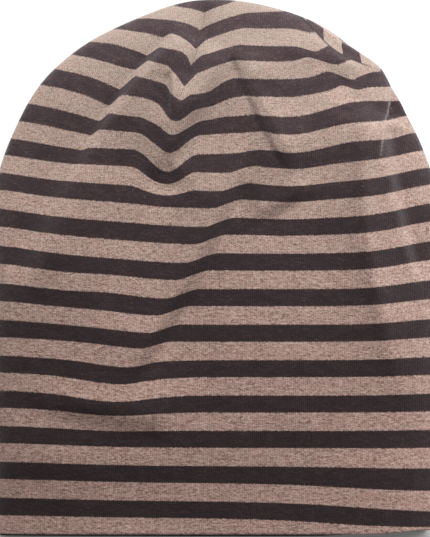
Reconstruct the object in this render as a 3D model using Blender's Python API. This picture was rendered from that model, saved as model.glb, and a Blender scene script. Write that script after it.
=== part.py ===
"""A slouchy beanie of two plies of jersey, lying flat on its back with its crown toward +Y.

Metres, +Z up. It rests on z = 0, its left edge is at -X, and the origin lies under the middle of its
outline. Each ply is a bag with one opening, at the hem. Its faces come from one rule, surface_point, whose
inset says how far inside the hat's outer face a face lies, so the plies nest at an even distance.
"""

import math
from collections import namedtuple

import bmesh
import bpy

# The outline, seen from above
HAT_WIDTH = 0.244
HEM_WIDTH = 0.236
BODY_LENGTH = 0.158
CROWN_LENGTH = 0.130
HEM_RISE = 0.0022
CORNER_BULGE = 0.0032

# The height of the upper side over the surface below
HEM_LOFT = 0.022
BODY_LOFT = 0.031

# The cloth
SHELL_WALL = 0.0012
LINING_WALL = 0.0010
PLY_GAP = 0.0003
EDGE_RADIUS = 0.0035
LINING_SHOW = 0.0009

# How deep and how wide a fold of size 1 is
FOLD_DEPTH = 0.006
FOLD_REACH = 0.010

# The steps of the mesh
TOP_STEPS = 36
FLAT_STEPS = 6
ROLL_STEPS = 3
BODY_ROWS = 12
CROWN_ROWS = 18
PATH_STEPS = 16
SHARP_ANGLE = math.radians(50)

HALF_WIDTH = HAT_WIDTH / 2
HAT_LENGTH = BODY_LENGTH + CROWN_LENGTH
STACK = SHELL_WALL + PLY_GAP + LINING_WALL
EDGE_HEIGHT = EDGE_RADIUS + STACK
FLAT_SHARE = 1 - EDGE_HEIGHT / HALF_WIDTH
MIDDLE_Y = (HAT_LENGTH - LINING_SHOW) / 2

# The share of the arch's height below which the folds die out toward the outline
RELIEF_ARCH = 0.45
# How the columns crowd toward the edges: 0 is even, 1 is as on a circle
CROWDING = 0.6
# The share of the body's length over which the hem's width grows into the hat's
TAPER_SHARE = 0.7
# Places across the hem, as shares of half its width: where it starts to rise, and where the lining stops showing
RISE_FROM = 0.7
SHOW_ENDS = (0.45, 0.70)
# Where the right side of the crown bulges, as a turn from the body to the tip, and how far to either side
BULGE_TURN = math.radians(43)
BULGE_SPREAD = math.radians(12)

# Points are (across, along): shares of half the width from the middle, and of the length from the hem. The
# path runs from the crown down. Depths are shares of FOLD_DEPTH, up positive, just left and just right of the
# path; reaches and the blend between the sides are shares of FOLD_REACH, and fades are shares of the path.
Fold = namedtuple(
    "Fold",
    "name start middle end left right left_reach right_reach blend fade_in fade_out",
)
FOLD_ROWS = (
    ("front_dart", (-0.042, 0.996), (-0.082, 0.904), (-0.162, 0.811), -0.9, -0.9, 0.7, 0.8, 0.3, 0.0, 0.3),
    ("left_step", (-0.184, 0.932), (-0.429, 0.816), (-0.640, 0.670), -0.5, 0.7, 1.2, 2.4, 0.5, 0.3, 0.4),
    ("left_crease", (-0.199, 0.872), (-0.201, 0.824), (-0.206, 0.770), -0.5, 0.2, 0.9, 0.9, 0.3, 0.3, 0.4),
    ("right_crease", (0.100, 0.900), (0.162, 0.829), (0.206, 0.745), -0.3, 0.4, 1.2, 1.6, 0.5, 0.4, 0.3),
    ("drape_fold", (0.188, 0.777), (-0.015, 0.555), (-0.290, 0.261), -0.3, 0.4, 2.4, 3.0, 1.2, 0.2, 0.4),
    ("crown_wave", (0.330, 0.930), (0.430, 0.890), (0.550, 0.845), 0.5, 0.4, 0.8, 0.8, 0.5, 0.3, 0.3),
    ("crown_dip", (0.430, 0.900), (0.520, 0.868), (0.610, 0.838), -0.4, -0.3, 0.7, 0.7, 0.5, 0.3, 0.3),
    ("side_dart", (0.361, 0.976), (0.511, 0.908), (0.655, 0.870), 0.4, -1.0, 1.2, 2.2, 0.3, 0.0, 0.2),
    ("side_ridge", (0.765, 0.842), (0.763, 0.805), (0.757, 0.765), 0.3, -1.0, 1.0, 2.0, 0.4, 0.3, 0.3),
    ("inner_branch", (0.757, 0.775), (0.728, 0.724), (0.715, 0.650), 0.2, -0.3, 0.9, 1.0, 0.5, 0.1, 0.5),
    ("outer_branch", (0.775, 0.775), (0.802, 0.675), (0.890, 0.500), 0.2, -0.4, 1.2, 1.4, 0.5, 0.1, 0.5),
)
FOLDS = tuple(Fold(*row) for row in FOLD_ROWS)


def smooth(share):
    """Eases from 0 to 1 as share does."""
    held = min(max(share, 0.0), 1.0)
    return held * held * (3 - 2 * held)


def blend(low, high, share):
    return low + (high - low) * share


def path_points(fold):
    """Points of the curve through the fold's three, in metres from the middle of the hem."""
    points = []
    for step in range(PATH_STEPS + 1):
        t = step / PATH_STEPS
        weights = ((1 - t) * (1 - 2 * t), 4 * t * (1 - t), t * (2 * t - 1))
        ends = (fold.start, fold.middle, fold.end)
        across = sum(weight * end[0] for weight, end in zip(weights, ends))
        along = sum(weight * end[1] for weight, end in zip(weights, ends))
        points.append((across * HALF_WIDTH, along * HAT_LENGTH))
    return points


PATHS = {fold.name: path_points(fold) for fold in FOLDS}


def place_by_path(path, x, y):
    """The signed distance to the path, positive on its right, and how far down the path that is."""
    nearest = (math.inf, 0.0, 0.0)
    for index in range(PATH_STEPS):
        (x0, y0), (x1, y1) = path[index], path[index + 1]
        run_x, run_y = x1 - x0, y1 - y0
        length = math.hypot(run_x, run_y)
        share = ((x - x0) * run_x + (y - y0) * run_y) / length**2
        held = min(max(share, 0.0), 1.0)
        off = math.hypot(x - x0 - held * run_x, y - y0 - held * run_y)
        side = ((y - y0) * run_x - (x - x0) * run_y) / length
        if off < nearest[0]:
            nearest = (off, math.copysign(off, side), (index + held) / PATH_STEPS)
    return nearest[1:]


def relief(x, y):
    """How far the folds lift the upper side at a point of the plan."""
    lift = 0.0
    for fold in FOLDS:
        distance, down = place_by_path(PATHS[fold.name], x, y)
        left = fold.left * math.exp(-abs(distance) / (fold.left_reach * FOLD_REACH))
        right = fold.right * math.exp(-abs(distance) / (fold.right_reach * FOLD_REACH))
        side = smooth(0.5 + distance / (2 * fold.blend * FOLD_REACH))
        fade = smooth(down / fold.fade_in) if fold.fade_in else 1.0
        fade *= smooth((1 - down) / fold.fade_out)
        lift += fade * blend(left, right, side)
    return lift * FOLD_DEPTH


def hem_line(across, show):
    """Where the hem lies along the hat: it rises at the right, and the lining shows past it at the left."""
    risen = smooth((across - RISE_FROM) / (1 - RISE_FROM))
    hidden = smooth((across - SHOW_ENDS[0]) / (SHOW_ENDS[1] - SHOW_ENDS[0]))
    return HEM_RISE * risen - show * (1 - hidden)


def surface_point(row, station, inset, show):
    """A point of one face of a ply. The station is (is_upper, across), across from -1 to 1 over the width.

    The folds' lift is read at the hat's outer face, so that it is one and the same on every ply.
    """
    is_upper, across = station
    if row <= BODY_ROWS:
        up = row / BODY_ROWS
        y = blend(hem_line(across, show), BODY_LENGTH, up)
        face_y = blend(hem_line(across, 0.0), BODY_LENGTH, up)
        half = blend(HEM_WIDTH, HAT_WIDTH, smooth(up / TAPER_SHARE)) / 2
        loft = blend(HEM_LOFT, BODY_LOFT, smooth(up))
        outward = abs(across)
        bulge = 0.0
    else:
        turn = math.pi / 2 * (row - BODY_ROWS) / CROWN_ROWS
        y = BODY_LENGTH + (CROWN_LENGTH - inset) * math.sin(turn)
        face_y = BODY_LENGTH + CROWN_LENGTH * math.sin(turn)
        half = HALF_WIDTH * math.cos(turn)
        loft = BODY_LOFT
        outward = math.hypot(across * math.cos(turn), math.sin(turn))
        bulge = CORNER_BULGE * smooth(1 - abs(turn - BULGE_TURN) / BULGE_SPREAD) if across > 0 else 0.0
    narrowing = inset * min(half / HALF_WIDTH, 1.0) if row > BODY_ROWS else inset
    x = (half - narrowing + bulge) * across
    if is_upper:
        arch = math.sqrt(max(1 - outward**2, 0.0))
        lift = smooth(arch / RELIEF_ARCH) * relief(half * across, face_y)
        return x, y - MIDDLE_Y, EDGE_HEIGHT + (loft - inset - EDGE_HEIGHT) * arch + lift
    roll = max(outward - FLAT_SHARE, 0.0) / (1 - FLAT_SHARE)
    depth = math.sqrt(max(1 - roll**2, 0.0))
    return x, y - MIDDLE_Y, EDGE_HEIGHT - (EDGE_HEIGHT - inset) * depth


def stations():
    """The columns of the mesh: over the upper side from right to left, and back along the underside."""
    upper = []
    for step in range(TOP_STEPS + 1):
        share = step / TOP_STEPS
        across = CROWDING * math.cos(math.pi * share) + (1 - CROWDING) * (1 - 2 * share)
        upper.append((True, across))
    roll = []
    for step in range(1, ROLL_STEPS + 1):
        turn = math.pi / 2 * (1 - step / ROLL_STEPS)
        roll.append(blend(FLAT_SHARE, 1.0, math.sin(turn)))
    flat = [FLAT_SHARE * (2 * step / FLAT_STEPS - 1) for step in range(1, FLAT_STEPS)]
    lower = [-across for across in roll] + flat + roll[::-1]
    return upper + [(False, across) for across in lower]


def add_bag(mesh, inset, show, faces_out):
    """Adds one face of a ply, from the hem to the crown's tip, and returns its vertices at the hem."""
    columns = stations()
    rows = []
    for row in range(BODY_ROWS + CROWN_ROWS):
        rows.append([mesh.verts.new(surface_point(row, station, inset, show)) for station in columns])
    tip = mesh.verts.new(surface_point(BODY_ROWS + CROWN_ROWS, (False, 0.0), inset, show))
    faces = []
    for column in range(len(columns)):
        after = (column + 1) % len(columns)
        for low, high in zip(rows, rows[1:]):
            faces.append(mesh.faces.new((low[column], low[after], high[after], high[column])))
        faces.append(mesh.faces.new((rows[-1][column], rows[-1][after], tip)))
    if faces_out:
        bmesh.ops.reverse_faces(mesh, faces=faces)
    return rows[0]


def cloth(name, colour):
    """The material of one jersey, matt as cotton is."""
    material = bpy.data.materials.new(name)
    material.use_nodes = True
    shader = material.node_tree.nodes["Principled BSDF"]
    shader.inputs["Base Color"].default_value = (*colour, 1.0)
    shader.inputs["Roughness"].default_value = 0.9
    shader.inputs["Metallic"].default_value = 0.0
    material.diffuse_color = (*colour, 1.0)
    return material


def add_ply(name, inset, wall, show, material):
    """Adds one ply: a bag whose outer face lies inset inside the hat's, with its own wall."""
    mesh = bmesh.new()
    outer = add_bag(mesh, inset, show, True)
    inner = add_bag(mesh, inset + wall, show, False)
    for column in range(len(outer)):
        after = (column + 1) % len(outer)
        mesh.faces.new((outer[column], outer[after], inner[after], inner[column]))
    bmesh.ops.triangulate(mesh, faces=mesh.faces[:], quad_method="FIXED")
    data = bpy.data.meshes.new(name)
    mesh.to_mesh(data)
    mesh.free()
    data.shade_smooth()
    data.set_sharp_from_angle(angle=SHARP_ANGLE)
    data.materials.append(material)
    bpy.context.scene.collection.objects.link(bpy.data.objects.new(name, data))


def add_outer_shell():
    striped = cloth("striped_jersey", (0.20, 0.15, 0.13))
    add_ply("outer_shell", 0.0, SHELL_WALL, 0.0, striped)


def add_lining():
    dark = cloth("lining_jersey", (0.012, 0.010, 0.010))
    add_ply("lining", SHELL_WALL + PLY_GAP, LINING_WALL, LINING_SHOW, dark)


def main():
    for thing in list(bpy.data.objects):
        bpy.data.objects.remove(thing, do_unlink=True)
    add_outer_shell()
    add_lining()


main()
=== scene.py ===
import math
from collections import namedtuple

import bpy
import numpy as np
from bpy.props import FloatProperty, FloatVectorProperty, PointerProperty
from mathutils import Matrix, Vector, noise


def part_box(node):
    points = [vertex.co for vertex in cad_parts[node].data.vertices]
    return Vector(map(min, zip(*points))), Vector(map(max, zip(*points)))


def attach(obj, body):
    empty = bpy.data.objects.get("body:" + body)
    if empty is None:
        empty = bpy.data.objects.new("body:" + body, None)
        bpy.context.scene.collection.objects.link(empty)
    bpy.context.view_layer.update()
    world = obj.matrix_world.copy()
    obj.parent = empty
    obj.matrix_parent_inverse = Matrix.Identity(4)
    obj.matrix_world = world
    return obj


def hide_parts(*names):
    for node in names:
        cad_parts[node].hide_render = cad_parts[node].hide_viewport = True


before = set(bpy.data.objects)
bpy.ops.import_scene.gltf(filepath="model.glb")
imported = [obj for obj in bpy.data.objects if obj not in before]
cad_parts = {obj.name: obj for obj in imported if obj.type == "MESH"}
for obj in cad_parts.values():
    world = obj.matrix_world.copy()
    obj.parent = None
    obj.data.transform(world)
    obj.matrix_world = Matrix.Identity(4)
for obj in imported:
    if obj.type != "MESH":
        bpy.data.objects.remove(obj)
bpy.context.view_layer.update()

bl_info = {
    "name": "Slouchy striped beanie",
    "version": (1, 0, 0),
    "blender": (4, 5, 0),
    "location": "3D View > Sidebar > Beanie",
    "description": "Dresses the beanie's two plies in striped and plain jersey and sets them on a pale table",
    "category": "Object",
}

# The outline and the heights: the whole ones from the frame, the rest as the solids have them, apart from
# HEM_LOFT, which the shading in the photo puts lower
SHELL_LOW, SHELL_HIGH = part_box("outer_shell")
LINING_LOW, LINING_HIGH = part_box("lining")
HAT_WIDTH = SHELL_HIGH.x - SHELL_LOW.x
HAT_LENGTH = SHELL_HIGH.y - SHELL_LOW.y
LINING_SHOW = SHELL_LOW.y - LINING_LOW.y
HALF_WIDTH = HAT_WIDTH / 2
CROWN_LENGTH = 0.130
BODY_LENGTH = HAT_LENGTH - CROWN_LENGTH
HEM_WIDTH = 0.236
HEM_RISE = 0.0022
HEM_LOFT = 0.0185
BODY_LOFT = 0.031

# The cloth
SHELL_WALL = 0.0012
LINING_WALL = 0.0010
PLY_GAP = 0.0003
EDGE_RADIUS = 0.0035
EDGE_HEIGHT = EDGE_RADIUS + SHELL_WALL + PLY_GAP + LINING_WALL
FLAT_SHARE = 1 - EDGE_HEIGHT / HALF_WIDTH
FOLD_REACH = 0.010
# How many pairs of stripes the hat's length holds
STRIPE_PAIRS = 14.98

# Shares that shape the outline and the folds' ends, as in the solids
RELIEF_ARCH = 0.45
TAPER_SHARE = 0.7
RISE_FROM = 0.7
SHOW_ENDS = (0.45, 0.70)

# How early the loft grows up the body, where 1 is evenly
LOFT_POWER = 0.7
# How round a fold's top is, as a share of its blend
TOP_ROUNDING = 0.3
# How the stripes' drag falls beside a kink, where 1 is evenly
KINK_POWER = 1.3
# The hem holds the cloth, so the drag eases in up the hat: how far on that easing the hem is, and the length
# of the easing as a share of the hat's
HEM_SLIP = 0.35
HEM_HOLD = 0.03

# The steps of the finished meshes
PATH_STEPS = 16
SHELL_ROWS = (145, 165)
SHELL_INNER_ROWS = (24, 28)
LINING_ROWS = (60, 70)
RIM_STEPS = 4
TOP_STEPS = 208
EDGE_STEPS = 8
EDGE_SHARE = 0.97
FLAT_STEPS = 16
ROLL_STEPS = 6
SEAM_STEPS = 120

# Where the crown's outline lies beyond an ellipse or within it: the side it is on, its middle and its spread
# in degrees up from the hat's widest line, and its size in metres
Bulge = namedtuple("Bulge", "name side turn spread size")
BULGE_ROWS = (
    ("corner", 1, 43, 12, 0.0032),
    ("right_notch", 1, 39.5, 6, -0.0013),
    ("right_flank", 1, 28, 22, -0.0009),
    ("right_crown", 1, 62, 14, 0.0009),
    ("left_crown", -1, 68, 18, -0.0020),
    ("left_shoulder", -1, 40, 15, 0.0013),
)
BULGES = tuple(Bulge(*row) for row in BULGE_ROWS)

# Points are (across, along): shares of half the width from the middle, and of the length from the hem. The
# path runs from the crown down. Depths are shares of the fold depth, up positive, just left and just right
# of the path; reaches and the blend between the sides are shares of FOLD_REACH, and fades of the path.
Fold = namedtuple(
    "Fold",
    "name start middle end left right left_reach right_reach blend fade_in fade_out",
)
FOLD_ROWS = (
    ("front_dart", (-0.042, 0.996), (-0.082, 0.904), (-0.162, 0.811), -0.9, -0.9, 0.7, 0.8, 0.15, 0.0, 0.3),
    ("dart_valley", (0.08, 0.905), (-0.06, 0.8), (-0.265, 0.64), 0.9, -0.6, 2.6, 2.1, 0.8, 0.2, 0.35),
    ("drape_lip", (-0.1, 0.662), (-0.222, 0.64), (-0.35, 0.68), -0.36, -0.16, 1.7, 2.4, 0.45, 0.3, 0.3),
    ("left_step", (-0.15, 0.945), (-0.407, 0.818), (-0.64, 0.66), -0.5, 0.6, 1.2, 1.3, 0.45, 0.15, 0.45),
    ("left_roll", (-0.52, 0.77), (-0.7, 0.62), (-0.87, 0.42), -0.8, 0.75, 1.8, 1.8, 1.2, 0.4, 0.3),
    ("left_crease", (-0.19, 0.868), (-0.198, 0.822), (-0.2, 0.765), -0.4, 0.35, 0.7, 0.6, 0.12, 0.25, 0.35),
    ("right_crease", (0.052, 0.915), (0.189, 0.777), (0.354, 0.655), -0.22, 0.1, 0.6, 0.5, 0.22, 0.12, 0.3),
    ("crown_ridge", (0.08, 0.925), (0.236, 0.785), (0.4, 0.665), 1.0, 1.06, 1.8, 1.7, 0.5, 0.25, 0.3),
    ("drape_fold", (0.164, 0.77), (-0.03, 0.532), (-0.42, 0.255), 0.55, -0.52, 2.2, 3.0, 0.6, 0.3, 0.18),
    ("belly_fold", (0.46, 0.648), (0.303, 0.615), (0.15, 0.578), 0.45, -0.22, 2.2, 1.6, 0.5, 0.3, 0.3),
    ("low_sag", (-0.17, 0.196), (-0.45, 0.213), (-0.88, 0.245), 0.54, -0.17, 1.8, 1.3, 0.95, 0.3, 0.32),
    ("crown_wave", (0.23, 0.922), (0.39, 0.893), (0.604, 0.837), 0.26, 0.28, 1.0, 1.0, 0.35, 0.35, 0.25),
    ("crown_dip", (0.42, 0.89), (0.52, 0.858), (0.61, 0.826), -0.5, -0.4, 0.7, 0.7, 0.5, 0.3, 0.3),
    ("side_dart", (0.361, 0.976), (0.511, 0.908), (0.655, 0.87), 0.25, -0.6, 1.2, 2.2, 0.4, 0.0, 0.2),
    ("side_ridge", (0.768, 0.852), (0.77, 0.805), (0.757, 0.77), 0.3, -1.1, 1.0, 2.0, 0.12, 0.2, 0.3),
    ("inner_branch", (0.763, 0.79), (0.743, 0.74), (0.715, 0.65), 0.25, -0.35, 0.8, 0.9, 0.22, 0.2, 0.5),
    ("outer_branch", (0.763, 0.775), (0.812, 0.617), (0.923, 0.439), 0.3, -0.8, 1.2, 1.4, 0.45, 0.1, 0.3),
    ("side_swell", (0.7, 0.805), (0.668, 0.56), (0.89, 0.165), 1.25, 1.35, 1.2, 1.6, 0.9, 0.12, 0.35),
    ("panel_fold", (0.411, 0.963), (0.53, 0.928), (0.64, 0.9), 0.3, -0.2, 0.5, 0.6, 0.08, 0.1, 0.3),
)
FOLDS = tuple(Fold(*row) for row in FOLD_ROWS)

# Broad rises and hollows of the upper side: centre, half width, and half height toward the crown and toward
# the hem, as the shares above, and the lift as a share of the fold depth
Mound = namedtuple("Mound", "name across along width above below lift")
MOUND_ROWS = (
    ("dart_brow", -0.1, 0.89, 0.26, 0.075, 0.075, 0.4),
    ("dart_hollow", -0.26, 0.705, 0.22, 0.07, 0.25, -0.26),
    ("left_hollow", -0.88, 0.8, 0.3, 0.12, 0.12, -0.4),
    ("left_swell", -0.92, 0.465, 0.45, 0.17, 0.24, 0.95),
    ("left_flank", -0.8, 0.15, 0.45, 0.16, 0.07, 0.5),
    ("lip_hollow", -0.22, 0.64, 0.075, 0.03, 0.12, -0.26),
    ("drape_hollow", -0.27, 0.5, 0.24, 0.13, 0.35, -0.38),
)
MOUNDS = tuple(Mound(*row) for row in MOUND_ROWS)

# How far the folds drag the stripes toward the hem, as shares of the stripe pitch. Reaches and blends are
# shares of half the width, and fades of the path. Roundness runs from a kink at the path, 0, to a bow, 1.
Drag = namedtuple(
    "Drag",
    "name start middle end left right left_reach right_reach blend roundness fade_in fade_out",
)
DRAG_ROWS = (
    ("front_dart", (-0.042, 0.996), (-0.112, 0.865), (-0.195, 0.735),
     0.54, 0.54, 0.24, 0.19, 0.005, 0.0, 0.0, 0.35),
    ("dart_pinch", (-0.06, 0.955), (-0.105, 0.88), (-0.168, 0.8),
     0.27, 0.27, 0.1, 0.04, 0.003, 0.0, 0.35, 0.15),
    ("dart_drape", (-0.15, 0.825), (-0.205, 0.715), (-0.225, 0.6),
     0.55, 0.55, 0.16, 0.13, 0.02, 1.0, 0.25, 0.35),
    ("left_step", (-0.165, 0.955), (-0.429, 0.816), (-0.64, 0.67),
     0.4, 0.03, 0.4, 0.1, 0.012, 0.3, 0.2, 0.5),
    ("left_crease", (-0.208, 0.88), (-0.203, 0.829), (-0.206, 0.77),
     -0.06, 0.04, 0.05, 0.07, 0.004, 0.3, 0.3, 0.3),
    ("right_crease", (0.06, 0.904), (0.201, 0.777), (0.356, 0.668),
     -0.06, 0.0, 0.1, 0.05, 0.02, 0.0, 0.4, 0.3),
    ("drape_fold", (0.153, 0.767), (-0.125, 0.505), (-0.46, 0.26),
     0.28, 0.25, 0.7, 0.1, 0.04, 0.6, 0.2, 0.3),
    ("crown_wave", (0.33, 0.918), (0.52, 0.861), (0.65, 0.812),
     -0.16, 0.26, 0.09, 0.11, 0.03, 0.6, 0.25, 0.3),
)
DRAGS = tuple(Drag(*row) for row in DRAG_ROWS)

# Broad places where the stripes lie lower or higher: centre, half width and half height as the shares above
Sag = namedtuple("Sag", "name across along width height drag")
SAG_ROWS = (
    ("whole", 0.1, 0.5, 9.0, 0.6, 0.14),
    ("crown", 0.0, 1.0, 0.8, 0.12, 0.27),
    ("left_side", -1.0, 0.66, 0.22, 0.24, -0.26),
    ("left_shoulder", -0.66, 0.86, 0.25, 0.09, -0.18),
    ("dart_end", -0.16, 0.785, 0.1, 0.025, 0.05),
    ("dart_side", 0.05, 0.79, 0.17, 0.07, 0.17),
    ("crown_right", 0.27, 0.92, 0.2, 0.07, 0.09),
    ("wave_top", 0.43, 0.93, 0.08, 0.025, 0.2),
    ("crown_left", -0.42, 0.93, 0.12, 0.03, -0.13),
    ("step_foot", -0.58, 0.74, 0.2, 0.06, 0.07),
    ("left_body", -1.0, 0.2, 0.5, 0.22, -0.12),
    ("low_drape", -0.45, 0.262, 0.2, 0.055, 0.22),
    ("right_side", 1.0, 0.66, 0.24, 0.26, -0.42),
    ("right_shoulder", 0.66, 0.805, 0.18, 0.03, -0.2),
    ("belly", 0.37, 0.74, 0.14, 0.12, 0.17),
    ("hem_corner", 1.05, 0.0, 0.6, 0.1, 0.37),
    ("dart_left", -0.4, 0.8, 0.1, 0.05, 0.14),
    ("dart_head", -0.13, 0.893, 0.06, 0.025, -0.22),
    ("dart_foot", -0.12, 0.7, 0.1, 0.06, 0.03),
    ("middle", 0.25, 0.73, 0.14, 0.14, 0.09),
    ("left_middle", -0.47, 0.454, 0.15, 0.04, -0.07),
    ("low_left", -0.45, 0.315, 0.25, 0.03, 0.06),
    ("dart_right", -0.035, 0.815, 0.08, 0.035, 0.2),
    ("crown_edge", -0.25, 0.97, 0.12, 0.02, 0.13),
    ("right_crown", 0.64, 0.877, 0.14, 0.02, 0.11),
    ("right_low", 0.62, 0.745, 0.14, 0.03, -0.1),
    ("dart_mid", -0.245, 0.775, 0.04, 0.05, -0.09),
    ("dart_fall", -0.06, 0.752, 0.07, 0.03, 0.02),
    ("tip_left", -0.2, 0.988, 0.1, 0.015, 0.13),
    ("tip_right", 0.09, 0.998, 0.11, 0.028, 0.1),
    ("last_stripe", 0.85, 0.088, 0.5, 0.022, 0.06),
    ("dart_slope", -0.3, 0.78, 0.08, 0.05, 0.08),
    ("ridge_top", 0.77, 0.845, 0.08, 0.03, 0.05),
    ("ridge_side", 0.86, 0.765, 0.07, 0.03, -0.1),
)
SAGS = tuple(Sag(*row) for row in SAG_ROWS)

# Small soft waves of cloth that lies loose: their height in metres, how many a metre across and along, and a
# place in the noise
Wave = namedtuple("Wave", "name height across along seed")
WAVE_ROWS = (
    ("broad", 0.0012, 22, 16, 0.7),
    ("fine", 0.0004, 60, 45, 4.2),
)
WAVES = tuple(Wave(*row) for row in WAVE_ROWS)

# Beyond the side dart the back panel shows: its stripes run up the hat, counted from this place across, and
# they slip by a share of the pitch at the fold in it
SIDE_PANEL_ACROSS = 0.3975
SIDE_PANEL_COUNT = 15
PANEL_FOLD_SLIP = 0.09

# The sewn dart, the stretch of its path that the stitches follow, the three points of a stitch's curve, and
# the steps along it and round it
SEAM_DART = "front_dart"
SEAM_ENDS = (0.06, 0.96)
STITCH_START = (-0.0005, -0.0001, -0.0001)
STITCH_MIDDLE = (0.0, 0.0, 0.0002)
STITCH_END = (0.0005, 0.0001, -0.0001)
STITCH_STEPS = 6

# The folds whose edges get a painted highlight, how wide the highlit line is, and how pale
HIGHLIGHT_EDGES = ("panel_fold", "side_ridge", "inner_branch")
HIGHLIGHT_WIDTH = 0.0007
HIGHLIGHT_SHARE = 0.5

# How far to either side of the side dart's seam the cloth lies in its shade, and how dark that is
SEAM_WIDTH = 0.0008
SEAM_SHADE = 0.7

# A distance in metres that is beyond any place on the hat
FAR = 1.0

# A stripe's shape, in shares of the pitch: the middle and half the width of the dark one in each pair, how
# steeply it ends, and how far the fibres fuzz its edge
DARK_MIDDLE = 0.75
DARK_HALF = 0.243
STRIPE_SHARPNESS = 40
EDGE_FUZZ = 0.05
# How steeply the front's stripes give way to the back panel's at the side dart, a metre
DART_SHARPNESS = 20000

# The knit: how far up its column a stitch's arms lean, in rows, and how far the columns drift, in columns
STITCH_LEAN = 1.4
WALE_DRIFT = 0.5

# Noises in the cloth: grains a metre round and up the hat, detail and roughness, and a place in the noise
Grain = namedtuple("Grain", "around along detail roughness seed")
SHELL_DRIFT = Grain(160, 160, 2.0, 0.55, 3.1)
EDGE_GRAIN = Grain(1100, 300, 2.0, 0.55, 8.4)
STREAKS = Grain(160, 600, 2.0, 0.6, 3.3)
FLECKS = Grain(560, 900, 2.0, 0.6, 1.7)
FIBRES = Grain(1250, 1600, 1.0, 0.6, 5.2)
CLOUD = Grain(110, 260, 3.0, 0.6, 9.9)
LINING_DRIFT = Grain(160, 160, 2.0, 0.55, 6.1)
LINING_FIBRES = Grain(1300, 2600, 2.0, 0.7, 2.9)

# Specks of lint: cells a metre, a speck's radius in cells, the share of cells that have one, and a place in
# the noise
Lint = namedtuple("Lint", "per_metre radius kept seed")
SHELL_LINT = Lint(150, 0.09, 0.12, 2.2)
LINING_LINT = Lint(130, 0.09, 0.12, 4.6)
# How much wider than tall the cells are, and how far a speck brings the sand yarn's colour in
CELL_STRETCH = 1.8
LINT_SHARE = 0.25

# How much of each grain shows in the yarn, at the hem and at the crown's tip
STREAK_WEIGHTS = (0.20, 0.06)
FLECK_WEIGHTS = (0.46, 0.16)
FIBRE_WEIGHTS = (0.34, 0.78)

# The beige melange: from which weight of cloud up the yarn is sand and not rose, and how sharply
SAND_FROM = 0.42
SAND_CONTRAST = 4
# From which weight of grain up the pale flecks show and from which down the brown ones, how sharply, how
# boldly at the hem and at the crown's tip, and how strong the brown ones are beside the pale
PALE_FROM = 0.50
BROWN_FROM = 0.49
FLECK_CONTRAST = 8
FLECK_BOLDNESS = (1.0, 0.45)
BROWN_SHARE = 0.9

# The dark yarn: from which weight of grain up it looks worn, how sharply, and how far the clouds add to that
WEAR_FROM = 0.46
WEAR_CONTRAST = 5
CLOUD_WEAR = 1.4

# Painted light on the two yarns, as a colour to multiply by at the hem and at the crown's tip: it cools the
# crown as a bluer light would, and a painted sheen makes the dark stripes much paler there
MELANGE_PAINTED_LIGHT = ((1.01, 0.92, 0.945), (0.838, 0.915, 0.946))
DARK_PAINTED_LIGHT = ((0.975, 0.855, 0.81), (2.26, 2.38, 2.30))

# Painted shade that darkens the cloth toward the hem: the share of the length that it reaches up, and the
# multiplier at the hem and from there up; painted shade in the knit's grooves, at the hem and at the crown's
# tip; and how much the clouds vary the tone at random
HEM_SHADE_REACH = 1 / 3
HEM_PAINTED_SHADES = (0.855, 0.885)
STITCH_SHADES = (0.08, 0.12)
CLOUD_SHADE = 0.12

# How much the knit, the flecks, the fibres and the streaks raise the striped jersey's surface
TUFT_WEIGHTS = (0.7, 1.2, 0.8, 0.5)

# How rough jersey is, where its fibres are sparse and where they are dense
JERSEY_ROUGHNESS = (0.82, 0.96)

# The lining's paler fibres: from which density they show, how sharply, and how much they raise its surface
LINING_FIBRE_FROM = 0.45
LINING_FIBRE_CONTRAST = 2.5
LINING_FIBRE_TUFT = 0.5

# The thread: grains a metre, and its shade and roughness in its twist's hollows and on its ridges
THREAD_GRAIN = 2400
THREAD_SHADES = (0.6, 1.4)
THREAD_ROUGHNESS = (0.7, 0.9)

# The table, and the lamps: their place, what they aim at and their size
TABLE_HALF = 1.5
TABLE_DROP = 0.0002
TABLE_ROUGHNESS = 0.8
Lamp = namedtuple("Lamp", "name place aim size")
LAMP_ROWS = (
    ("crown_softbox", (0.10, 1.60, 0.95), (0.0, 0.02, 0.0), (1.25, 0.90)),
    ("right_softbox", (0.41, 0.08, 0.20), (0.04, -0.02, 0.02), (0.30, 0.20)),
    ("left_softbox", (-0.30, 0.16, 0.13), (-0.11, 0.03, 0.02), (0.30, 0.20)),
)
LAMPS = tuple(Lamp(*row) for row in LAMP_ROWS)

# The camera's sensor, and the place on the table that the photo's middle shows
SENSOR_WIDTH = 36.0
VIEW_MIDDLE = (-0.0003, -0.0008)

# The solids that the two plies take the place of
SHELL_NAME = "outer_shell"
LINING_NAME = "lining"


def number_setting(name, description, default, least, unit="LENGTH"):
    """A number in the sidebar, a length unless another unit is given."""
    return FloatProperty(name=name, description=description, default=default, min=least, unit=unit)


def colour_setting(name, description, default):
    """A colour in the sidebar."""
    return FloatVectorProperty(name=name, description=description, subtype="COLOR", size=3, default=default)


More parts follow.
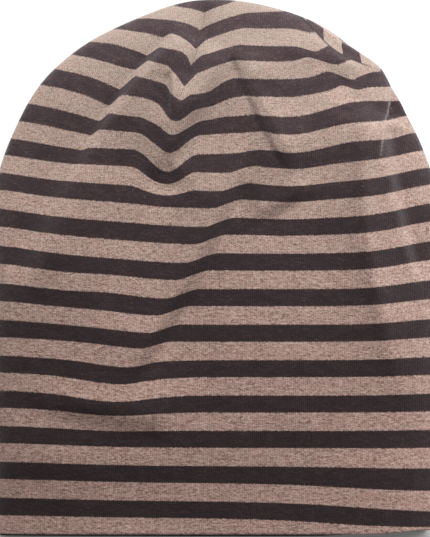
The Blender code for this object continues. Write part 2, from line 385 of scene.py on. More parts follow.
class BeanieCloth(bpy.types.PropertyGroup):
    """Sizes and colours of the cloth."""

    stripe_pitch: number_setting(
        "Stripe pitch", "Width of one light and one dark stripe together", HAT_LENGTH / STRIPE_PAIRS, 0.004
    )
    fold_depth: number_setting("Fold depth", "Depth of a fold of size 1 in the table of folds", 0.006, 0.0)
    wale_pitch: number_setting("Wale pitch", "Width of one column of stitches in the knit", 0.00110, 0.0003)
    course_pitch: number_setting(
        "Course pitch", "Height of one row of stitches in the knit", 0.00065, 0.0003
    )
    stitch_pitch: number_setting(
        "Stitch pitch", "Distance between the stitches along a dart's seam", 0.0014, 0.0005
    )
    thread_radius: number_setting("Thread radius", "Radius of the sewing thread", 0.00013, 0.00005)
    rose_yarn: colour_setting(
        "Rose yarn", "Pinkish beige fibres of the melange stripes", (0.370, 0.251, 0.204)
    )
    sand_yarn: colour_setting(
        "Sand yarn", "Greyish beige fibres of the melange stripes", (0.328, 0.243, 0.192)
    )
    # Also the colour of the painted highlight along some fold edges
    pale_fleck_and_highlight: colour_setting("Pale fleck", "Pale fibres in the melange", (0.50, 0.385, 0.33))
    brown_fleck: colour_setting("Brown fleck", "Brown fibres in the melange", (0.125, 0.074, 0.060))
    dark_yarn: colour_setting("Dark yarn", "Colour of the dark stripes", (0.0165, 0.0092, 0.0112))
    worn_yarn: colour_setting(
        "Worn yarn", "Browner, fuzzier places in the dark stripes", (0.038, 0.0225, 0.0245)
    )
    thread_colour: colour_setting("Thread colour", "Colour of the sewing thread", (0.075, 0.045, 0.038))
    # Near black, darker than the dark stripes: the line the lining shows under the hem is partly painted
    # shade
    lining_yarn_and_shade: colour_setting("Lining yarn", "Colour of the plain lining", (0.012, 0.010, 0.010))
    lining_fibre: colour_setting("Lining fibre", "Paler fibres in the lining", (0.0288, 0.024, 0.024))


class BeanieStage(bpy.types.PropertyGroup):
    """The table, the lights and the camera."""

    floor_colour: colour_setting("Floor colour", "Colour of the pale table", (0.93, 0.93, 0.93))
    key_power: number_setting("Key power", "Power of the soft light beyond the crown", 54.0, 0.0, "POWER")
    right_power: number_setting("Right power", "Power of the soft light on the right", 1.05, 0.0, "POWER")
    left_power: number_setting("Left power", "Power of the soft light on the left", 0.20, 0.0, "POWER")
    fill_colour: colour_setting(
        "Fill colour", "Colour of the even light from all round", (1.0, 0.985, 0.975)
    )
    fill_strength: number_setting(
        "Fill strength", "Strength of the even light from all round", 0.23, 0.0, "NONE"
    )
    camera_height: number_setting("Camera height", "Height of the camera over the table", 4.0, 0.5)
    view_length: number_setting(
        "View length", "Length of the table that the picture's long side shows", 0.2905, 0.1
    )


def smooth(share):
    """Eases from 0 to 1 as share does."""
    held = np.clip(share, 0.0, 1.0)
    return held * held * (3 - 2 * held)


def mixed(low, high, share):
    """What lies at a share of the way from low to high; it works on numbers, arrays and shader numbers."""
    return low + (high - low) * share


def path_points(row):
    """Points of the curve through a row's three, in metres from the middle of the hem."""
    t = np.linspace(0.0, 1.0, PATH_STEPS + 1)[:, None]
    start, middle, end = (np.array(point) for point in (row.start, row.middle, row.end))
    shares = (1 - t) * (1 - 2 * t) * start + 4 * t * (1 - t) * middle + t * (2 * t - 1) * end
    return shares * (HALF_WIDTH, HAT_LENGTH)


def place_by_path(path, x, y):
    """The signed distance to the path, positive on its right, and how far down the path that is."""
    nearest = np.full(x.shape, np.inf)
    signed = np.zeros(x.shape)
    down = np.zeros(x.shape)
    for index, ((x0, y0), (x1, y1)) in enumerate(zip(path, path[1:])):
        run_x, run_y = x1 - x0, y1 - y0
        length = math.hypot(run_x, run_y)
        share = np.clip(((x - x0) * run_x + (y - y0) * run_y) / length**2, 0.0, 1.0)
        off = np.hypot(x - x0 - share * run_x, y - y0 - share * run_y)
        side = (y - y0) * run_x - (x - x0) * run_y
        closer = off < nearest
        nearest = np.where(closer, off, nearest)
        signed = np.where(closer, np.copysign(off, side), signed)
        down = np.where(closer, (index + share) / PATH_STEPS, down)
    return signed, down


def fade_along(row, down):
    """How much of a row's fold or drag there is at shares of its path: less at the ends."""
    fade_in = smooth(down / row.fade_in) if row.fade_in else 1.0
    return fade_in * smooth((1 - down) / row.fade_out)


def relief(x, y, fold_depth):
    """How far the folds lift the upper side at points of the plan."""
    lift = np.zeros(x.shape)
    for fold in FOLDS:
        distance, down = place_by_path(path_points(fold), x, y)
        rounding = TOP_ROUNDING * fold.blend * FOLD_REACH
        off = np.hypot(distance, rounding) - rounding
        left = fold.left * np.exp(-off / (fold.left_reach * FOLD_REACH))
        right = fold.right * np.exp(-off / (fold.right_reach * FOLD_REACH))
        side = smooth(0.5 + distance / (2 * fold.blend * FOLD_REACH))
        lift += fade_along(fold, down) * mixed(left, right, side)
    for mound in MOUNDS:
        lift += mound.lift * rounded_spot(mound, mound.above, mound.below, x, y)
    return lift * fold_depth


def rounded_spot(spot, above, below, x, y):
    """1 at the middle of a mound or a sag, and toward 0 all round it."""
    off_x = (x / HALF_WIDTH - spot.across) / spot.width
    off_y = y / HAT_LENGTH - spot.along
    off_y = off_y / np.where(off_y > 0, above, below)
    return np.exp(-(off_x**2) - off_y**2)


def tapered(share, roundness):
    """Falls from 1 to 0 as share does: from a kink, or from a bow where roundness is 1."""
    held = np.clip(share, 0.0, 1.0)
    return mixed(held**KINK_POWER, smooth(held), roundness)


def stripe_drag(x, y):
    """How far toward the hem the cloth has slipped at points of the plan, as a share of the stripe pitch."""
    drag = np.zeros(x.shape)
    for row in DRAGS:
        distance, down = place_by_path(path_points(row), x, y)
        off = np.abs(distance) / HALF_WIDTH
        left = row.left * tapered(1 - off / row.left_reach, row.roundness)
        right = row.right * tapered(1 - off / row.right_reach, row.roundness)
        side = smooth(0.5 + distance / (2 * row.blend * HALF_WIDTH))
        drag += fade_along(row, down) * mixed(left, right, side)
    for sag in SAGS:
        drag += sag.drag * rounded_spot(sag, sag.height, sag.height, x, y)
    return drag * smooth(y / HAT_LENGTH / HEM_HOLD + HEM_SLIP)


def ring_stations():
    """The columns of a ply's mesh, from the underside's middle round by the right, the top and the left."""
    edge = [1 - (1 - EDGE_SHARE) * (step / EDGE_STEPS) ** 2 for step in range(EDGE_STEPS)]
    middle = [EDGE_SHARE * (1 - 2 * step / TOP_STEPS) for step in range(TOP_STEPS + 1)]
    upper = edge + middle + [-across for across in reversed(edge)]
    flat = [FLAT_SHARE * step / FLAT_STEPS for step in range(FLAT_STEPS)]
    turns = [math.pi / 2 * step / ROLL_STEPS for step in range(ROLL_STEPS)]
    roll = [mixed(FLAT_SHARE, 1.0, math.sin(turn)) for turn in turns]
    right = flat + roll
    left = [-across for across in right[:0:-1]]
    across = np.array(right + upper + left)
    is_upper = np.array([False] * len(right) + [True] * len(upper) + [False] * len(left))
    return is_upper, across


def bag_rows(outer_rows, inner_rows, inset, wall):
    """Rows of (place up the hat, inset, reach past the hem): down outside, round the rim and up inside.

    The place runs from 0 at the hem to 1 at the body's end and 2 at the crown's tip, where both faces close.
    """
    body, crown = outer_rows
    outer = [2 - step / crown for step in range(1, crown)] + [1 - step / body for step in range(body + 1)]
    body, crown = inner_rows
    inner = [step / body for step in range(body + 1)] + [1 + step / crown for step in range(1, crown)]
    rows = [(up, inset, 0.0) for up in outer]
    for step in range(1, RIM_STEPS):
        turn = math.pi * step / RIM_STEPS
        rows.append((0.0, inset + wall * (1 - math.cos(turn)) / 2, wall / 2 * math.sin(turn)))
    return rows + [(up, inset + wall, 0.0) for up in inner]


def outline_shift(turn, across):
    """How far the crown's outline lies beyond an ellipse, at turns up from the widest line."""
    shift = 0.0
    for bulge in BULGES:
        here = smooth(1 - np.abs(np.degrees(turn) - bulge.turn) / bulge.spread)
        shift = shift + bulge.size * here * (across * bulge.side > 0)
    return shift


def hem_line(across, show):
    """Where the hem lies along the hat: it rises at the right, and the lining shows past it at the left."""
    risen = smooth((across - RISE_FROM) / (1 - RISE_FROM))
    hidden = smooth((across - SHOW_ENDS[0]) / (SHOW_ENDS[1] - SHOW_ENDS[0]))
    return HEM_RISE * risen - show * (1 - hidden)


def bag_points(rows, is_upper, across, show, fold_depth):
    """Places of a ply's points, row by row, and the plan places at the hat's outer face that they follow."""
    up = np.array([row[0] for row in rows])[:, None]
    inset = np.array([row[1] for row in rows])[:, None]
    past_hem = np.array([row[2] for row in rows])[:, None]
    across = across[None, :]
    in_crown = up > 1
    body_up = np.minimum(up, 1.0)
    turn = np.maximum(up - 1, 0.0) * math.pi / 2
    half = mixed(HEM_WIDTH, HAT_WIDTH, smooth(body_up / TAPER_SHARE)) / 2 * np.cos(turn)
    body_y = mixed(hem_line(across, show), BODY_LENGTH, body_up)
    shift = outline_shift(turn, across) * in_crown
    y = body_y + (CROWN_LENGTH - inset + shift * across**2) * np.sin(turn) - past_hem
    face_y = mixed(hem_line(across, 0.0), BODY_LENGTH, body_up) + CROWN_LENGTH * np.sin(turn)
    loft = mixed(HEM_LOFT, BODY_LOFT, smooth(body_up**LOFT_POWER))
    outward = np.hypot(across * np.cos(turn), np.sin(turn))
    narrowing = inset * np.where(in_crown, np.cos(turn), 1.0)
    x = (half - narrowing + shift * np.cos(turn)) * across
    face_x = half * across
    arch = np.sqrt(np.clip(1 - outward**2, 0.0, 1.0))
    lift = smooth(arch / RELIEF_ARCH) * (relief(face_x, face_y, fold_depth) + unevenness(face_x, face_y))
    top = EDGE_HEIGHT + (loft - inset - EDGE_HEIGHT) * arch + lift
    roll = np.clip(outward - FLAT_SHARE, 0.0, None) / (1 - FLAT_SHARE)
    bottom = EDGE_HEIGHT - (EDGE_HEIGHT - inset) * np.sqrt(np.clip(1 - roll**2, 0.0, 1.0))
    z = np.where(is_upper[None, :], top, bottom)
    return np.stack((x, y + SHELL_LOW.y, z), axis=-1), face_x, face_y


def unevenness(x, y):
    """Small soft waves of cloth that lies loose."""
    lift = np.zeros(x.size)
    for wave in WAVES:
        for index, (px, py) in enumerate(zip(x.ravel(), y.ravel())):
            lift[index] += wave.height * noise.noise(Vector((px * wave.across, py * wave.along, wave.seed)))
    return lift.reshape(x.shape)


def stripe_counts(face_x, face_y, is_upper, across, pitch):
    """Stripe counts from the hem on the front and on the back panel, and how far past the side dart they are.

    Where the count's fraction is over a half, the stripe is dark. The underside takes its edges' counts.
    """
    paths = {fold.name: path_points(fold) for fold in FOLDS}
    past_dart, _ = place_by_path(paths["side_dart"], face_x, face_y)
    past_fold, _ = place_by_path(paths["panel_fold"], face_x, face_y)
    front = face_y / pitch + stripe_drag(face_x, face_y)
    panel = SIDE_PANEL_COUNT - (face_x - SIDE_PANEL_ACROSS * HALF_WIDTH) / pitch
    panel = panel - PANEL_FOLD_SLIP * (past_fold > 0)
    first = int(np.argmax(is_upper))
    last = len(is_upper) - 1 - int(np.argmax(is_upper[::-1]))
    right_edge = np.where(past_dart > 0, panel, front)[:, first] - face_y[:, first] / pitch
    left_edge = (front - face_y / pitch)[:, last]
    share = smooth((across + 1) / 2)[None, :]
    under = face_y / pitch + mixed(left_edge[:, None], right_edge[:, None], share)
    lower = ~is_upper[None, :]
    return np.where(lower, under, front), np.where(lower, under, panel), past_dart


def edge_distance(face_x, face_y):
    """How far points of the plan lie from the painted highlights on fold edges, more where the folds fade."""
    reaches = []
    for fold in FOLDS:
        if fold.name in HIGHLIGHT_EDGES:
            distance, down = place_by_path(path_points(fold), face_x, face_y)
            reaches.append(np.abs(distance) + (1 - fade_along(fold, down)) * HIGHLIGHT_WIDTH)
    return np.minimum.reduce(reaches)


def around_lengths(points, is_upper, across):
    """The length round the hat from the middle of its upper side to each column, row by row."""
    steps = np.linalg.norm(np.roll(points, -1, axis=1) - points, axis=-1)
    lengths = np.concatenate((np.zeros((len(points), 1)), np.cumsum(steps, axis=1)), axis=1)
    middle = int(np.argmin(np.where(is_upper, np.abs(across), np.inf)))
    return lengths - lengths[:, middle : middle + 1]


def cloth_corners(around, along):
    """The cloth map's places at the corners of a ply's quads and then of the fans at its two tips."""
    quads = np.stack(
        (
            np.stack((around[:-1, :-1], along[:-1]), axis=-1),
            np.stack((around[1:, :-1], along[1:]), axis=-1),
            np.stack((around[1:, 1:], np.roll(along[1:], -1, axis=1)), axis=-1),
            np.stack((around[:-1, 1:], np.roll(along[:-1], -1, axis=1)), axis=-1),
        ),
        axis=2,
    ).reshape(-1, 2)
    columns = along.shape[1]
    fans = []
    for line, turned_round in ((0, False), (-1, True)):
        tip = along[line].mean()
        for column in range(columns):
            here = (around[line, column], along[line, column])
            after = (around[line, column + 1], along[line, (column + 1) % columns])
            middle = ((here[0] + after[0]) / 2, tip)
            fans += [middle, after, here] if turned_round else [middle, here, after]
    return np.concatenate((quads, fans))


def bag_mesh(name, points, around, along):
    """A closed mesh from rows of points, closed at a tip at either end, with its cloth map in metres."""
    count, columns = points.shape[:2]
    outer_tip = points[0].mean(axis=0)
    inner_tip = points[-1].mean(axis=0)
    row, column = np.meshgrid(np.arange(count - 1), np.arange(columns), indexing="ij")
    after = (column + 1) % columns
    upper, lower = row * columns, (row + 1) * columns
    quads = np.stack((upper + column, lower + column, lower + after, upper + after), axis=-1).reshape(-1, 4)
    rim = np.arange(columns)
    turned = (rim + 1) % columns
    last = (count - 1) * columns
    fans = [(count * columns, int(a), int(b)) for a, b in zip(rim, turned)]
    fans += [(count * columns + 1, last + int(b), last + int(a)) for a, b in zip(rim, turned)]
    mesh = bpy.data.meshes.new(name)
    places = np.concatenate((points.reshape(-1, 3), (outer_tip, inner_tip)))
    mesh.from_pydata(places.tolist(), [], quads.tolist() + fans)
    mesh.uv_layers.new(name="cloth").data.foreach_set("uv", cloth_corners(around, along).ravel())
    mesh.shade_smooth()
    return mesh


def keep_number(mesh, name, values):
    """Stores one number a point, with its mean at the two tips."""
    tips = (values[0].mean(), values[-1].mean())
    kept = mesh.attributes.new(name, "FLOAT", "POINT")
    kept.data.foreach_set("value", np.concatenate((values.ravel(), tips)))


def link(mesh, material):
    """Links a new object with this mesh and material."""
    mesh.materials.append(material)
    piece = bpy.data.objects.new(mesh.name, mesh)
    bpy.context.scene.collection.objects.link(piece)
    return piece


class Value:
    """A shader number: a sum written with it adds Math nodes to its tree."""

    def __init__(self, tree, socket):
        self.tree = tree
        self.socket = socket

    def __add__(self, other):
        return self.tree.maths("ADD", self, other)

    def __sub__(self, other):
        return self.tree.maths("SUBTRACT", self, other)

    def __rsub__(self, other):
        return self.tree.maths("SUBTRACT", other, self)

    def __mul__(self, other):
        return self.tree.maths("MULTIPLY", self, other)

    def __truediv__(self, other):
        return self.tree.maths("DIVIDE", self, other)

    def __pow__(self, other):
        return self.tree.maths("POWER", self, other)

    def __abs__(self):
        return self.tree.maths("ABSOLUTE", self)

    __radd__ = __add__
    __rmul__ = __mul__


class NodeMaker:
    """Adds nodes to one tree."""

    def __init__(self, tree):
        self.nodes = tree.nodes
        self.links = tree.links
        self.nodes.clear()

    def add(self, kind, settings, inputs):
        """Adds a node: its settings first, then the value or the link of each socket."""
        node = self.nodes.new(kind)
        for name, setting in settings.items():
            setattr(node, name, setting)
        for key, given in inputs.items():
            if isinstance(given, Value):
                self.links.new(given.socket, node.inputs[key])
            elif isinstance(given, bpy.types.NodeSocket):
                self.links.new(given, node.inputs[key])
            else:
                node.inputs[key].default_value = given
        return node


class ClothTree(NodeMaker):
    """A material's nodes, from an empty tree to its shader."""

    def __init__(self, name):
        self.material = bpy.data.materials.new(name)
        self.material.use_nodes = True
        super().__init__(self.material.node_tree)

    def maths(self, operation, *numbers, clamp=False):
        """A Math node's result."""
        settings = {"operation": operation, "use_clamp": clamp}
        return Value(self, self.add("ShaderNodeMath", settings, dict(enumerate(numbers))).outputs[0])

    def clamp(self, number):
        """The number held between 0 and 1."""
        return self.maths("ADD", number, 0.0, clamp=True)

    def fraction(self, number):
        """What is left of the number over a whole one."""
        return self.maths("FRACT", number)

    def cloth_map(self):
        """The cloth map as a vector, and its two numbers: metres round the hat and metres up it."""
        node = self.add("ShaderNodeUVMap", {"uv_map": "cloth"}, {})
        split = self.add("ShaderNodeSeparateXYZ", {}, {0: node.outputs["UV"]})
        return node.outputs["UV"], Value(self, split.outputs["X"]), Value(self, split.outputs["Y"])

    def number(self, name):
        """A number stored on the mesh."""
        return Value(self, self.add("ShaderNodeAttribute", {"attribute_name": name}, {}).outputs["Fac"])

    def grain(self, vector, row):
        """Noise from 0 to 1 on the cloth map, so that the folds drag it along."""
        return self.noise_at("2D", vector, (row.around, row.along, 0.0), row)

    def loose_grain(self, row):
        """Noise from 0 to 1 on the hat's own place, which the folds don't drag along."""
        place = self.add("ShaderNodeTexCoord", {}, {}).outputs["Object"]
        return self.noise_at("3D", place, (row.around, row.along, row.around), row)

    def noise_at(self, dimensions, place, per_metre, row):
        """Noise from 0 to 1, with so many grains a metre each way."""
        scaled = self.vectors("MULTIPLY_ADD", place, per_metre, (row.seed, row.seed, row.seed))
        settings = {"noise_dimensions": dimensions}
        inputs = {"Vector": scaled, "Scale": 1.0, "Detail": row.detail, "Roughness": row.roughness}
        return Value(self, self.add("ShaderNodeTexNoise", settings, inputs).outputs[0])

    def specks(self, vector, lint):
        """Small specks in a share of the cells: 1 at a speck's middle, 0 beyond its radius."""
        stretch = (lint.per_metre, lint.per_metre * CELL_STRETCH, 0.0)
        scaled = self.vectors("MULTIPLY_ADD", vector, stretch, (lint.seed, lint.seed, lint.seed))
        settings = {"voronoi_dimensions": "2D"}
        cells = self.add("ShaderNodeTexVoronoi", settings, {"Vector": scaled, "Scale": 1.0})
        chance = self.add("ShaderNodeSeparateColor", {}, {0: cells.outputs["Color"]})
        chosen = self.maths("LESS_THAN", Value(self, chance.outputs[0]), lint.kept)
        return self.clamp(1 - Value(self, cells.outputs["Distance"]) / lint.radius) * chosen

    def vectors(self, operation, *given):
        """A Vector Math node's result."""
        node = self.add("ShaderNodeVectorMath", {"operation": operation}, dict(enumerate(given)))
        return node.outputs[0]

    def colours(self, first, second, share, blend="MIX"):
        """The first colour, with a share of the second mixed in."""
        settings = {"data_type": "RGBA", "blend_type": blend}
        inputs = {0: share, 6: self.colour(first), 7: self.colour(second)}
        return self.add("ShaderNodeMix", settings, inputs).outputs[2]

    def shaded(self, colour, share):
        """The colour times a number."""
        grey = self.add("ShaderNodeCombineColor", {}, {0: share, 1: share, 2: share}).outputs[0]
        return self.colours(colour, grey, 1.0, "MULTIPLY")

    @staticmethod
    def colour(given):
        """A colour's link as it is, or its three numbers made four for a socket."""
        return given if isinstance(given, bpy.types.NodeSocket) else (*given, 1.0)

    def finish(self, colour, roughness, height, relief_depth, sheen):
        """Ends the tree in a matt cloth shader with a bump."""
        bump = self.add("ShaderNodeBump", {}, {"Strength": 1.0, "Distance": relief_depth, "Height": height})
        shader = self.add(
            "ShaderNodeBsdfPrincipled",
            {},
            {
                "Base Color": colour,
                "Roughness": roughness,
                "Normal": bump.outputs["Normal"],
                "Specular IOR Level": 0.30,
                "Sheen Weight": sheen,
                "Sheen Roughness": 0.45,
            },
        )
        self.add("ShaderNodeOutputMaterial", {}, {"Surface": shader.outputs["BSDF"]})
        return self.material


def knit_height(tree, around, along, cloth, drift):
    """The height of plain jersey: columns of V stitches, from 0 to 1."""
    column = tree.fraction(around / cloth.wale_pitch + drift * WALE_DRIFT)
    ridge = 1 - abs(column * 2 - 1)
    lean = abs(column - 0.5) * STITCH_LEAN
    stitch = tree.fraction(along / cloth.course_pitch + lean)
    loop = 1 - abs(stitch * 2 - 1)
    return ridge * (loop * 0.5 + 0.5)


def dark_stripes(tree, vector):
    """1 on the dark stripes and 0 on the light ones: the front's, and past the side dart the back panel's."""
    past_dart = tree.clamp(tree.number("past_dart") * DART_SHARPNESS + 0.5)
    count = mixed(tree.number("front_count"), tree.number("panel_count"), past_dart)
    fuzz = (tree.grain(vector, EDGE_GRAIN) - 0.5) * EDGE_FUZZ
    off_middle = abs(tree.fraction(count + fuzz + (0.5 - DARK_MIDDLE)) - 0.5)
    return tree.clamp((DARK_HALF - off_middle) * STRIPE_SHARPNESS + 0.5)


def beige_melange(tree, cloth, cloud, spread, up_hat, in_crown):
    """The light stripes' colour: rose and sand yarn with pale and brown flecks, cooled toward the crown by
    painted light.
    """
    yarn = tree.colours(cloth.rose_yarn, cloth.sand_yarn, tree.clamp((cloud - SAND_FROM) * SAND_CONTRAST))
    bold = mixed(*FLECK_BOLDNESS, in_crown)
    pale = tree.clamp((spread - PALE_FROM) * FLECK_CONTRAST) * bold
    brown = tree.clamp((BROWN_FROM - spread) * FLECK_CONTRAST) * bold * BROWN_SHARE
    flecked = tree.colours(tree.colours(yarn, cloth.pale_fleck_and_highlight, pale), cloth.brown_fleck, brown)
    # Painted light: the melange cooler toward the crown
    return tree.colours(flecked, tree.colours(*MELANGE_PAINTED_LIGHT, up_hat**2), 1.0, "MULTIPLY")


def worn_dark(tree, cloth, vector, cloud, spread, in_crown):
    """The dark stripes' colour: near-black yarn, browner where it is worn, with specks of lint, paler toward
    the crown by a painted sheen.
    """
    wear = tree.clamp((spread - WEAR_FROM) * WEAR_CONTRAST + (cloud - 0.5) * CLOUD_WEAR)
    yarn = tree.colours(cloth.dark_yarn, cloth.worn_yarn, wear)
    linty = tree.colours(yarn, cloth.sand_yarn, tree.specks(vector, SHELL_LINT) * LINT_SHARE)
    # A painted sheen: the dark stripes paler toward the crown
    return tree.colours(linty, tree.colours(*DARK_PAINTED_LIGHT, in_crown), 1.0, "MULTIPLY")


def striped_jersey(cloth):
    """Jersey in even stripes of beige melange and near-black brown, finer toward the crown and paler there by
    painted light.
    """
    tree = ClothTree("striped_jersey")
    vector, around, along = tree.cloth_map()
    height = knit_height(tree, around, along, cloth, tree.grain(vector, SHELL_DRIFT))
    streaks = tree.grain(vector, STREAKS)
    flecks = tree.loose_grain(FLECKS)
    fibres = tree.loose_grain(FIBRES)
    cloud = tree.grain(vector, CLOUD)
    up_hat = tree.clamp(along / HAT_LENGTH)
    in_crown = up_hat**3
    spread = streaks * mixed(*STREAK_WEIGHTS, in_crown)
    spread = spread + flecks * mixed(*FLECK_WEIGHTS, in_crown)
    spread = spread + fibres * mixed(*FIBRE_WEIGHTS, in_crown)

    melange = beige_melange(tree, cloth, cloud, spread, up_hat, in_crown)
    dark = worn_dark(tree, cloth, vector, cloud, spread, in_crown)
    colour = tree.colours(melange, dark, dark_stripes(tree, vector))
    # A painted highlight along some fold edges, in the pale fleck's colour
    worn = tree.clamp(1 - tree.number("edge_distance") / HIGHLIGHT_WIDTH)
    colour = tree.colours(colour, cloth.pale_fleck_and_highlight, worn * HIGHLIGHT_SHARE)
    seam = tree.clamp(1 - abs(tree.number("past_dart")) / SEAM_WIDTH)
    colour = tree.shaded(colour, 1 - seam * SEAM_SHADE)
    # Painted shade: the cloth darker toward the hem, and in the knit's grooves
    hem_painted_shade = mixed(*HEM_PAINTED_SHADES, tree.clamp(up_hat / HEM_SHADE_REACH))
    colour = tree.shaded(colour, hem_painted_shade + height * mixed(*STITCH_SHADES, in_crown) + cloud * CLOUD_SHADE)
    knit_tuft, fleck_tuft, fibre_tuft, streak_tuft = TUFT_WEIGHTS
    tufts = height * knit_tuft + flecks * fleck_tuft + fibres * fibre_tuft + streaks * streak_tuft
    return tree.finish(colour, mixed(*JERSEY_ROUGHNESS, fibres), tufts, relief_depth=0.00025, sheen=0.20)


def plain_jersey(cloth):
    """The lining's plain dark jersey, near black, so that the line it shows under the hem is partly painted
    shade.
    """
    tree = ClothTree("dark_jersey")
    vector, around, along = tree.cloth_map()
    height = knit_height(tree, around, along, cloth, tree.grain(vector, LINING_DRIFT))
    fibres = tree.grain(vector, LINING_FIBRES)
    shown = tree.clamp((fibres - LINING_FIBRE_FROM) * LINING_FIBRE_CONTRAST)
    # Near black: partly painted shade where the lining shows under the hem
    colour = tree.colours(cloth.lining_yarn_and_shade, cloth.lining_fibre, shown)
    colour = tree.colours(colour, cloth.sand_yarn, tree.specks(vector, LINING_LINT) * LINT_SHARE)
    tufts = height + fibres * LINING_FIBRE_TUFT
    return tree.finish(colour, mixed(*JERSEY_ROUGHNESS, fibres), tufts, relief_depth=0.00022, sheen=0.12)


def sewing_thread(cloth):
    """Twisted thread, a little worn."""
    tree = ClothTree("sewing_thread")
    place = tree.add("ShaderNodeTexCoord", {}, {}).outputs["Object"]
    grain = tree.add("ShaderNodeTexNoise", {}, {"Vector": place, "Scale": THREAD_GRAIN, "Detail": 2.0})
    twist = Value(tree, grain.outputs[0])
    colour = tree.shaded(tuple(cloth.thread_colour), mixed(*THREAD_SHADES, twist))
    return tree.finish(colour, mixed(*THREAD_ROUGHNESS, twist), twist, relief_depth=0.00005, sheen=0.1)


def crown_height(x, y, fold_depth):
    """The height of the crown's upper face at points of the plan, counted from the middle of the hem."""
    arch = np.sqrt(np.clip(1 - (x / HALF_WIDTH) ** 2 - ((y - BODY_LENGTH) / CROWN_LENGTH) ** 2, 0.0, 1.0))
    lift = smooth(arch / RELIEF_ARCH) * (relief(x, y, fold_depth) + unevenness(x, y))
    return EDGE_HEIGHT + (BODY_LOFT - EDGE_HEIGHT) * arch + lift


def seam_line(fold_depth):
    """The points of a line that lies in the sewn dart's seam."""
    path = path_points(next(fold for fold in FOLDS if fold.name == SEAM_DART))
    spots = np.linspace(*SEAM_ENDS, SEAM_STEPS) * PATH_STEPS
    x = np.interp(spots, np.arange(PATH_STEPS + 1), path[:, 0])
    y = np.interp(spots, np.arange(PATH_STEPS + 1), path[:, 1])
    z = crown_height(x, y, fold_depth)
    return [(px, py + SHELL_LOW.y, pz) for px, py, pz in zip(x, y, z)]


def stitch_tree(material):
    """Nodes that lay a stitch along a seam's line at every step of the pitch."""
    group = bpy.data.node_groups.new("seam_stitches", "GeometryNodeTree")
    sockets = group.interface
    sockets.new_socket("Seam lines", in_out="INPUT", socket_type="NodeSocketGeometry")
    sockets.new_socket("Stitch pitch", in_out="INPUT", socket_type="NodeSocketFloat")
    sockets.new_socket("Thread radius", in_out="INPUT", socket_type="NodeSocketFloat")
    sockets.new_socket("Stitches", in_out="OUTPUT", socket_type="NodeSocketGeometry")
    tree = NodeMaker(group)
    given = tree.add("NodeGroupInput", {}, {}).outputs
    pitch, radius = given["Stitch pitch"], given["Thread radius"]
    lines = tree.add("GeometryNodeMeshToCurve", {}, {"Mesh": given["Seam lines"]}).outputs[0]
    spacing = {"Curve": lines, "Length": pitch}
    spots = tree.add("GeometryNodeResampleCurve", {"mode": "LENGTH"}, spacing).outputs[0]
    tangent = tree.add("GeometryNodeInputTangent", {}, {}).outputs[0]
    axes = {"axis": "X", "pivot_axis": "Z"}
    turned = tree.add("FunctionNodeAlignRotationToVector", axes, {"Vector": tangent}).outputs[0]
    bow = {"Resolution": STITCH_STEPS, "Start": STITCH_START, "Middle": STITCH_MIDDLE, "End": STITCH_END}
    thread = tree.add("GeometryNodeCurveQuadraticBezier", {}, bow).outputs[0]
    girth = {"Resolution": STITCH_STEPS, "Radius": radius}
    profile = tree.add("GeometryNodeCurvePrimitiveCircle", {}, girth).outputs[0]
    swept = {"Curve": thread, "Profile Curve": profile, "Fill Caps": True}
    stitch = tree.add("GeometryNodeCurveToMesh", {}, swept).outputs[0]
    laying = {"Points": spots, "Instance": stitch, "Rotation": turned}
    laid = tree.add("GeometryNodeInstanceOnPoints", {}, laying).outputs[0]
    made = tree.add("GeometryNodeRealizeInstances", {}, {"Geometry": laid}).outputs[0]
    worn = tree.add("GeometryNodeSetMaterial", {}, {"Geometry": made, "Material": material}).outputs[0]
    tree.add("NodeGroupOutput", {}, {"Stitches": worn})
    return group


def plain_copy(worker, name):
    """The worker's evaluated mesh as a new object's own mesh, with the worker removed."""
    bpy.context.view_layer.update()
    evaluated = worker.evaluated_get(bpy.context.evaluated_depsgraph_get())
    mesh = bpy.data.meshes.new_from_object(evaluated)
    mesh.name = name
    bpy.data.objects.remove(worker)
    piece = bpy.data.objects.new(name, mesh)
    bpy.context.scene.collection.objects.link(piece)
    return piece


class BEANIE_OT_outer_shell(bpy.types.Operator):
    """Make the striped jersey ply, with its darts and folds"""

    bl_idname = "beanie.outer_shell"
    bl_label = "Outer shell"

    def execute(self, context):
        cloth = context.scene.beanie_cloth
        is_upper, across = ring_stations()
        rows = bag_rows(SHELL_ROWS, SHELL_INNER_ROWS, 0.0, SHELL_WALL)
        points, face_x, face_y = bag_points(rows, is_upper, across, 0.0, cloth.fold_depth)
        front, panel, past_dart = stripe_counts(face_x, face_y, is_upper, across, cloth.stripe_pitch)
        around = around_lengths(points, is_upper, across)
        mesh = bag_mesh("shell_jersey", points, around, front * cloth.stripe_pitch)
        keep_number(mesh, "front_count", front)
        keep_number(mesh, "panel_count", panel)
        keep_number(mesh, "past_dart", np.where(is_upper[None, :], past_dart, -FAR))
        keep_number(mesh, "edge_distance", np.where(is_upper[None, :], edge_distance(face_x, face_y), FAR))
        piece = link(mesh, striped_jersey(cloth))
        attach(piece, "root")
        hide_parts(SHELL_NAME)
        return {"FINISHED"}


class BEANIE_OT_lining(bpy.types.Operator):
    """Make the plain dark ply inside"""

    bl_idname = "beanie.lining"
    bl_label = "Lining"

    def execute(self, context):
        cloth = context.scene.beanie_cloth
        is_upper, across = ring_stations()
        rows = bag_rows(LINING_ROWS, LINING_ROWS, SHELL_WALL + PLY_GAP, LINING_WALL)
        points, _, face_y = bag_points(rows, is_upper, across, LINING_SHOW, cloth.fold_depth)
        around = around_lengths(points, is_upper, across)
        mesh = bag_mesh("lining_jersey", points, around, face_y)
        piece = link(mesh, plain_jersey(cloth))
        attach(piece, "root")
        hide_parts(LINING_NAME)
        return {"FINISHED"}


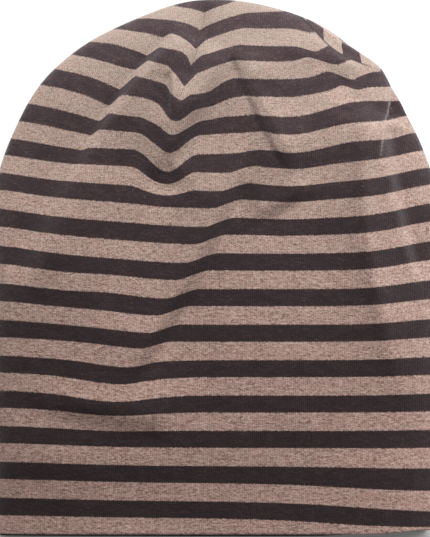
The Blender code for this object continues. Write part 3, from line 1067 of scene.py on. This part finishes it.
class BEANIE_OT_seam_stitches(bpy.types.Operator):
    """Sew the front dart with small stitches that lie in its seam"""

    bl_idname = "beanie.seam_stitches"
    bl_label = "Seam stitches"

    def execute(self, context):
        cloth = context.scene.beanie_cloth
        places = seam_line(cloth.fold_depth)
        edges = [(step, step + 1) for step in range(len(places) - 1)]
        lines = bpy.data.meshes.new("seam_lines")
        lines.from_pydata(places, edges, [])
        worker = bpy.data.objects.new("seam_lines", lines)
        context.scene.collection.objects.link(worker)
        group = stitch_tree(sewing_thread(cloth))
        modifier = worker.modifiers.new("stitches", "NODES")
        modifier.node_group = group
        sizes = {"Stitch pitch": cloth.stitch_pitch, "Thread radius": cloth.thread_radius}
        for item in group.interface.items_tree:
            if item.name in sizes:
                modifier[item.identifier] = sizes[item.name]
        piece = plain_copy(worker, "seam_stitches")
        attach(piece, "root")
        return {"FINISHED"}


class BEANIE_OT_stage(bpy.types.Operator):
    """Make the pale table, the soft lights and the camera straight above"""

    bl_idname = "beanie.stage"
    bl_label = "Table, lights and camera"

    def execute(self, context):
        stage = context.scene.beanie_stage
        self.add_table(stage)
        self.add_lights(context, stage)
        self.add_camera(context, stage)
        return {"FINISHED"}

    @staticmethod
    def add_table(stage):
        """A square table top just under the hat."""
        turns = ((-1, -1), (1, -1), (1, 1), (-1, 1))
        corners = [(x * TABLE_HALF, y * TABLE_HALF, -TABLE_DROP) for x, y in turns]
        mesh = bpy.data.meshes.new("table_top")
        mesh.from_pydata(corners, [], [(0, 1, 2, 3)])
        material = bpy.data.materials.new("pale_table")
        material.use_nodes = True
        shader = material.node_tree.nodes["Principled BSDF"]
        shader.inputs["Base Color"].default_value = (*stage.floor_colour, 1.0)
        shader.inputs["Roughness"].default_value = TABLE_ROUGHNESS
        link(mesh, material)

    @staticmethod
    def add_lights(context, stage):
        """Even light from all round, and three soft boxes."""
        world = bpy.data.worlds.new("studio")
        world.use_nodes = True
        background = world.node_tree.nodes["Background"]
        background.inputs["Color"].default_value = (*stage.fill_colour, 1.0)
        background.inputs["Strength"].default_value = stage.fill_strength
        context.scene.world = world
        for row, power in zip(LAMPS, (stage.key_power, stage.right_power, stage.left_power)):
            light = bpy.data.lights.new(row.name, "AREA")
            light.shape = "RECTANGLE"
            light.size, light.size_y = row.size
            light.energy = power
            lamp = bpy.data.objects.new(row.name, light)
            lamp.location = row.place
            lamp.rotation_euler = (Vector(row.aim) - lamp.location).to_track_quat("-Z", "Y").to_euler()
            context.scene.collection.objects.link(lamp)

    @staticmethod
    def add_camera(context, stage):
        """A camera straight above, whose long side sees the view length at the table."""
        lens = bpy.data.cameras.new("overhead")
        lens.sensor_width = SENSOR_WIDTH
        lens.lens = lens.sensor_width * stage.camera_height / stage.view_length
        camera = bpy.data.objects.new("overhead", lens)
        camera.location = (*VIEW_MIDDLE, stage.camera_height)
        context.scene.collection.objects.link(camera)
        context.scene.camera = camera
        context.scene.view_settings.view_transform = "Standard"


class BEANIE_PT_sidebar(bpy.types.Panel):
    """The beanie's pieces, sizes and colours"""

    bl_idname = "BEANIE_PT_sidebar"
    bl_label = "Slouchy beanie"
    bl_space_type = "VIEW_3D"
    bl_region_type = "UI"
    bl_category = "Beanie"

    def draw(self, context):
        for group in (context.scene.beanie_cloth, context.scene.beanie_stage):
            box = self.layout.box()
            for name in group.__annotations__:
                box.prop(group, name)
        for piece in PIECES:
            self.layout.operator(piece.bl_idname)


PIECES = (BEANIE_OT_stage, BEANIE_OT_outer_shell, BEANIE_OT_lining, BEANIE_OT_seam_stitches)
CLASSES = (BeanieCloth, BeanieStage, *PIECES, BEANIE_PT_sidebar)


def register():
    for one in CLASSES:
        bpy.utils.register_class(one)
    bpy.types.Scene.beanie_cloth = PointerProperty(type=BeanieCloth)
    bpy.types.Scene.beanie_stage = PointerProperty(type=BeanieStage)


def unregister():
    del bpy.types.Scene.beanie_stage
    del bpy.types.Scene.beanie_cloth
    for one in reversed(CLASSES):
        bpy.utils.unregister_class(one)


def main():
    register()
    bpy.ops.beanie.stage()
    bpy.ops.beanie.outer_shell()
    bpy.ops.beanie.lining()
    bpy.ops.beanie.seam_stitches()


if __name__ == "__main__":
    main()
